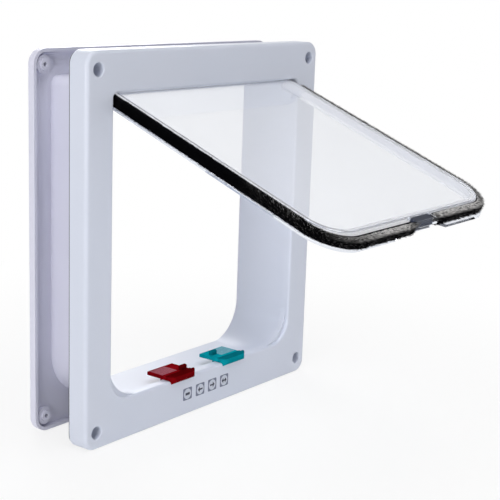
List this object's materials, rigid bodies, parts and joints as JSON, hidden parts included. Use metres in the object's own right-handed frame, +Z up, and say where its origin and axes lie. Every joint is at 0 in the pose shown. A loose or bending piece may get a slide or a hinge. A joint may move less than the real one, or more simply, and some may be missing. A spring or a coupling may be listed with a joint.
{
  "type": "cat flap",
  "caption": "Cat flap for a door: white inner frame with a tunnel, outer frame with a sleeve, clear swinging flap edged with pile, a magnetic catch, and lock slides on the sill.",
  "frame": {"origin": "centre of the four screw holes, on the inner frame's rear rim, where the door's inner face begins", "axes": "+X to the right seen from the room, +Y through the door from the room to the outside, +Z up"},
  "size_m": [0.235, 0.2195, 0.25],
  "materials": {
    "white_plastic": "fine satin moulded",
    "clear_plastic": "clear polished",
    "black_pile": "dense brush pile",
    "black_foam": "fine closed foam",
    "dark_magnet": "dull ground",
    "red_plastic": "tinted, with a finely ribbed grip",
    "green_plastic": "tinted, with a finely ribbed grip"
  },
  "bodies": {
    "frame": {"inner_frame": "white_plastic", "door_seal": "black_foam", "sill_magnet": "dark_magnet"},
    "outer": {"outer_frame": "white_plastic"},
    "flap": {"flap_panel": "clear_plastic", "left_pile_seal": "black_pile", "right_pile_seal": "black_pile", "flap_magnet": "dark_magnet"},
    "red_slide": {"red_lock_slide": "red_plastic"},
    "green_slide": {"green_lock_slide": "green_plastic"}
  },
  "joints": [
    {"name": "flap_hinge", "type": "hinge", "parent": "frame", "child": "flap", "pos_m": [0, -0.0017, 0.09795], "axis": [1, 0, 0], "range_deg": [-1.5, 148.7]},
    {"name": "red_lock", "type": "slide", "parent": "frame", "child": "red_slide", "axis": [1, 0, 0], "range_m": [-0.0036, 0.0124]},
    {"name": "green_lock", "type": "slide", "parent": "frame", "child": "green_slide", "axis": [-1, 0, 0], "range_m": [0, 0.016]},
    {"name": "door_fit", "type": "slide", "parent": "frame", "child": "outer", "axis": [0, 1, 0], "range_m": [-0.012, 0.01]}
  ]
}
